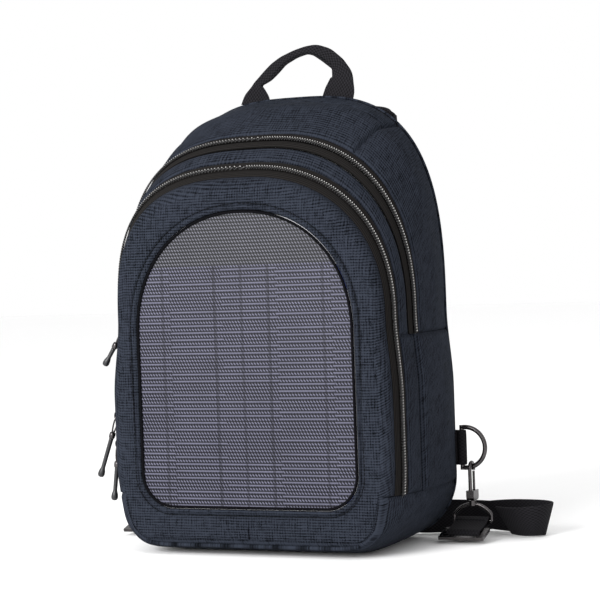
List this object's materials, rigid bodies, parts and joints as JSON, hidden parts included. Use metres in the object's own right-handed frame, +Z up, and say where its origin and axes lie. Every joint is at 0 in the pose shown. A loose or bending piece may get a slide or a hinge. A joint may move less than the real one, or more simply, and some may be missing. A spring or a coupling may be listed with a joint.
{
  "type": "solar backpack",
  "caption": "Small zipped daypack with an arch-topped solar window in its front, a front pocket, a grab handle, and shoulder straps clipped to side rings.",
  "frame": {"origin": "on the flat bottom of the bag, on its centre line, midway between the front seam and the back", "axes": "+Z up, the solar window faces -Y, +X to the right seen from the front"},
  "size_m": [0.3562, 0.1445, 0.3602],
  "materials": {
    "navy_fabric": "heather woven polyester",
    "black_webbing": "woven polypropylene webbing",
    "black_zip_tape": "woven zip tape",
    "zip_coil": "nylon coil",
    "padding": "air mesh over foam",
    "lining": "polyester lining",
    "stiffener": "polyethylene board",
    "gunmetal": "black nickel plated zinc",
    "rod_plastic": "moulded pull",
    "solar_film": "clear embossed polymer film",
    "silicon": "polycrystalline cell",
    "backsheet": "laminate backing",
    "black_plastic": "moulded case",
    "socket_steel": "tin plated shell"
  },
  "bodies": {
    "bag": {"bottom_panel": "navy_fabric", "lower_side_right": "navy_fabric", "lower_side_left": "navy_fabric", "yoke": "navy_fabric", "upper_side_right": "navy_fabric", "upper_side_left": "navy_fabric", "front_seam_piping": "navy_fabric", "back_panel": "padding", "back_stiffener": "stiffener", "main_zip_coil_rear": "zip_coil", "main_zip_tape_rear": "black_zip_tape", "handle_patch": "black_webbing", "strap_head_left": "black_webbing", "strap_head_right": "black_webbing", "ring_tab_left": "black_webbing", "ring_tab_right": "black_webbing", "strap_webbing_left": "black_webbing", "strap_webbing_right": "black_webbing"},
    "front_section": {"middle_gusset": "navy_fabric", "lower_gusset_right": "navy_fabric", "lower_gusset_left": "navy_fabric", "divider_panel": "lining", "main_zip_tape_front": "black_zip_tape", "main_zip_coil_front": "zip_coil", "front_zip_tape_rear": "black_zip_tape", "front_zip_coil_rear": "zip_coil"},
    "front_flap": {"front_panel": "navy_fabric", "window_binding": "black_webbing", "solar_film": "solar_film", "solar_cells": "silicon", "solar_backsheet": "backsheet", "charge_regulator": "black_plastic", "usb_socket": "socket_steel", "front_zip_tape_front": "black_zip_tape", "front_zip_coil_front": "zip_coil"},
    "main_slider": {"main_slider": "gunmetal"},
    "main_pull": {"main_pull": "rod_plastic"},
    "front_upper_slider": {"front_upper_slider": "gunmetal"},
    "front_upper_pull": {"front_upper_pull": "rod_plastic"},
    "front_lower_slider": {"front_lower_slider": "gunmetal"},
    "front_lower_pull": {"front_lower_pull": "rod_plastic"},
    "grab_handle": {"grab_handle": "black_webbing"},
    "shoulder_strap_right": {"shoulder_strap_right": "padding"},
    "d_ring_right": {"d_ring_right": "gunmetal"},
    "snap_hook_right": {"snap_hook_right": "gunmetal"},
    "hook_gate_right": {"hook_gate_right": "gunmetal"},
    "swivel_bow_right": {"swivel_bow_right": "gunmetal"},
    "strap_loop_right": {"strap_loop_right": "black_webbing", "slide_buckle_right": "gunmetal"},
    "shoulder_strap_left": {"shoulder_strap_left": "padding"},
    "d_ring_left": {"d_ring_left": "gunmetal"},
    "snap_hook_left": {"snap_hook_left": "gunmetal"},
    "hook_gate_left": {"hook_gate_left": "gunmetal"},
    "swivel_bow_left": {"swivel_bow_left": "gunmetal"},
    "strap_loop_left": {"strap_loop_left": "black_webbing", "slide_buckle_left": "gunmetal"}
  },
  "joints": [
    {"name": "front_section_open", "type": "hinge", "parent": "bag", "child": "front_section", "pos_m": [0, -0.059, 0.0095], "axis": [1, 0, 0], "range_deg": [0, 12]},
    {"name": "front_flap_open", "type": "hinge", "parent": "front_section", "child": "front_flap", "pos_m": [0, -0.059, 0.0095], "axis": [1, 0, 0], "range_deg": [0, 50]},
    {"name": "main_slider_run", "type": "slide", "parent": "bag", "child": "main_slider", "axis": [0, 0, 1], "range_m": [0, 0.018]},
    {"name": "main_pull_swing", "type": "hinge", "parent": "main_slider", "child": "main_pull", "pos_m": [-0.11929, -0.01734, 0.158], "axis": [-0.0614, 0.9981, 0], "range_deg": [-14, 110]},
    {"name": "front_upper_slider_run", "type": "slide", "parent": "front_section", "child": "front_upper_slider", "axis": [0, 0, 1], "range_m": [0, 0.065]},
    {"name": "front_upper_pull_swing", "type": "hinge", "parent": "front_upper_slider", "child": "front_upper_pull", "pos_m": [-0.1144, -0.0458, 0.096], "axis": [-0.3206, 0.9472, 0], "range_deg": [0, 110]},
    {"name": "front_lower_slider_run", "type": "slide", "parent": "front_section", "child": "front_lower_slider", "axis": [0, 0, 1], "range_m": [-0.02, 0]},
    {"name": "front_lower_pull_swing", "type": "hinge", "parent": "front_lower_slider", "child": "front_lower_pull", "pos_m": [-0.1144, -0.0458, 0.076], "axis": [-0.3206, 0.9472, 0], "range_deg": [-3, 12]},
    {"name": "handle_flop", "type": "hinge", "parent": "bag", "child": "grab_handle", "pos_m": [0, 0.055, 0.321], "axis": [1, 0, 0], "range_deg": [-60, 22]},
    {"name": "strap_swing_right", "type": "hinge", "parent": "bag", "child": "shoulder_strap_right", "pos_m": [0.054, 0.0588, 0.312], "axis": [1, 0, 0], "range_deg": [0, 25]},
    {"name": "d_ring_turn_right", "type": "hinge", "parent": "bag", "child": "d_ring_right", "pos_m": [0.1186, 0.05, 0.065], "axis": [0, 0, 1], "range_deg": [0, 12]},
    {"name": "hook_swing_right", "type": "hinge", "parent": "d_ring_right", "child": "snap_hook_right", "pos_m": [0.1251, 0.05, 0.05105], "axis": [1, 0, 0], "range_deg": [-3, 2]},
    {"name": "gate_open_right", "type": "hinge", "parent": "snap_hook_right", "child": "hook_gate_right", "pos_m": [0.1251, 0.0543, 0.0351], "axis": [1, 0, 0], "range_deg": [0, 22], "stiffness_Nm_per_rad": 0.01, "springref_deg": -17.19},
    {"name": "swivel_turn_right", "type": "hinge", "parent": "snap_hook_right", "child": "swivel_bow_right", "pos_m": [0.1251, 0.05, 0.0255], "axis": [0, 0, 1], "range_deg": [0, 7]},
    {"name": "loop_swing_right", "type": "hinge", "parent": "swivel_bow_right", "child": "strap_loop_right", "pos_m": [0.1251, 0.05, 0.0125], "axis": [1, 0, 0], "range_deg": [-5, 3]},
    {"name": "strap_swing_left", "type": "hinge", "parent": "bag", "child": "shoulder_strap_left", "pos_m": [-0.054, 0.0588, 0.312], "axis": [1, 0, 0], "range_deg": [0, 25]},
    {"name": "d_ring_turn_left", "type": "hinge", "parent": "bag", "child": "d_ring_left", "pos_m": [-0.1186, 0.05, 0.065], "axis": [0, 0, 1], "range_deg": [-12, 0]},
    {"name": "hook_swing_left", "type": "hinge", "parent": "d_ring_left", "child": "snap_hook_left", "pos_m": [-0.1251, 0.05, 0.05105], "axis": [1, 0, 0], "range_deg": [-3, 2]},
    {"name": "gate_open_left", "type": "hinge", "parent": "snap_hook_left", "child": "hook_gate_left", "pos_m": [-0.1251, 0.0543, 0.0351], "axis": [1, 0, 0], "range_deg": [0, 22], "stiffness_Nm_per_rad": 0.01, "springref_deg": -17.19},
    {"name": "swivel_turn_left", "type": "hinge", "parent": "snap_hook_left", "child": "swivel_bow_left", "pos_m": [-0.1251, 0.05, 0.0255], "axis": [0, 0, 1], "range_deg": [-7, 0]},
    {"name": "loop_swing_left", "type": "hinge", "parent": "swivel_bow_left", "child": "strap_loop_left", "pos_m": [-0.1251, 0.05, 0.0125], "axis": [1, 0, 0], "range_deg": [-5, 3]}
  ]
}
